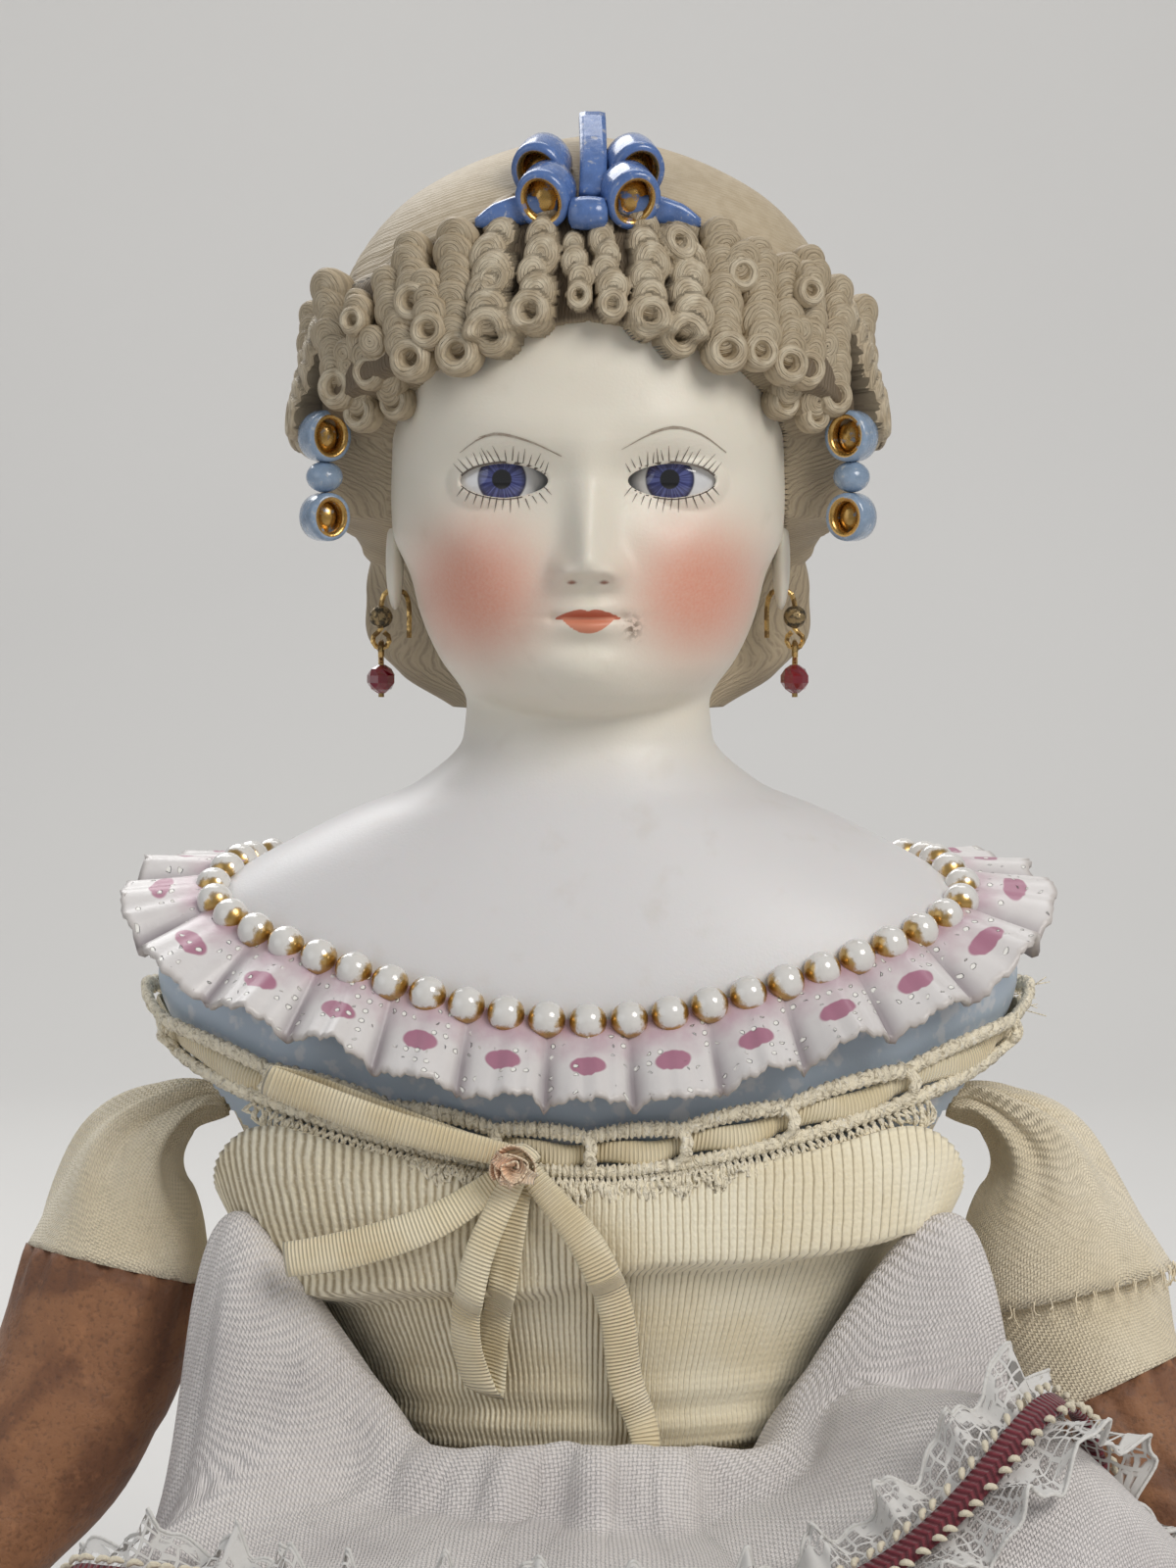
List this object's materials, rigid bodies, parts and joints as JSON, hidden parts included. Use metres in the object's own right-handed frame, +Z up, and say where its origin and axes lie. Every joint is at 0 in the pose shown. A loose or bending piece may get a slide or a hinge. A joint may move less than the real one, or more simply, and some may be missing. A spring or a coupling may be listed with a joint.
{
  "type": "bisque doll",
  "caption": "Seated shoulder-head lady doll with moulded curls and ribbons, glass eyes, drop earrings, knitted bodice and lowered lawn dress.",
  "frame": {"origin": "centre of the flat seat under the doll, on the surface that she sits on", "axes": "+Z up, -Y the way she faces, +X her left"},
  "size_m": [0.2511, 0.3459, 0.2593],
  "materials": {
    "bisque": "unglazed tinted bisque with glazed collar, beads and ribbons",
    "glass_eye": "opaque white blown glass with blue threaded iris",
    "brass_wire": "dulled wire",
    "brass_bead": "tarnished round bead",
    "garnet": "faceted dark red glass bead",
    "muslin": "plain woven unbleached cotton",
    "arm_leather": "worn tan kid",
    "boot_leather": "dark kid",
    "knit": "ribbed cotton knit",
    "crochet": "cotton crochet",
    "ribbon": "grosgrain silk",
    "rosebud": "folded silk ribbon",
    "lawn": "sheer lilac white lawn",
    "lace": "white bobbin net lace",
    "braid": "dark red woven braid with cream picots"
  },
  "bodies": {
    "doll": {"shoulder_head": "bisque", "glass_eye_right": "glass_eye", "glass_eye_left": "glass_eye", "torso": "muslin", "upper_arm_right": "muslin", "upper_arm_left": "muslin", "lower_sleeve_left": "muslin", "leather_arm_right": "arm_leather", "leather_arm_left": "arm_leather", "leg_right": "muslin", "leg_left": "muslin", "boot_right": "boot_leather", "boot_left": "boot_leather", "knit_bodice": "knit", "crochet_edging": "crochet", "threaded_ribbon": "ribbon", "ribbon_bow": "ribbon", "rosebud": "rosebud", "lawn_dress": "lawn", "lace_flounce": "lace", "red_braid": "braid"},
    "hook_right": {"earring_hook_right": "brass_wire", "brass_bead_right": "brass_bead"},
    "drop_right": {"drop_pin_right": "brass_wire", "garnet_bead_right": "garnet"},
    "hook_left": {"earring_hook_left": "brass_wire", "brass_bead_left": "brass_bead"},
    "drop_left": {"drop_pin_left": "brass_wire", "garnet_bead_left": "garnet"}
  },
  "joints": [
    {"name": "hook_swing_right", "type": "hinge", "parent": "doll", "child": "hook_right", "pos_m": [-0.0276, 0.001, 0.1926], "axis": [1, 0, 0], "range_deg": [-30, 8]},
    {"name": "drop_swing_right", "type": "hinge", "parent": "hook_right", "child": "drop_right", "pos_m": [-0.0296, 0.001, 0.1842], "axis": [1, 0, 0], "range_deg": [-35, 12]},
    {"name": "hook_swing_left", "type": "hinge", "parent": "doll", "child": "hook_left", "pos_m": [0.0276, 0.001, 0.1926], "axis": [1, 0, 0], "range_deg": [-30, 8]},
    {"name": "drop_swing_left", "type": "hinge", "parent": "hook_left", "child": "drop_left", "pos_m": [0.0296, 0.001, 0.1842], "axis": [1, 0, 0], "range_deg": [-35, 12]}
  ]
}
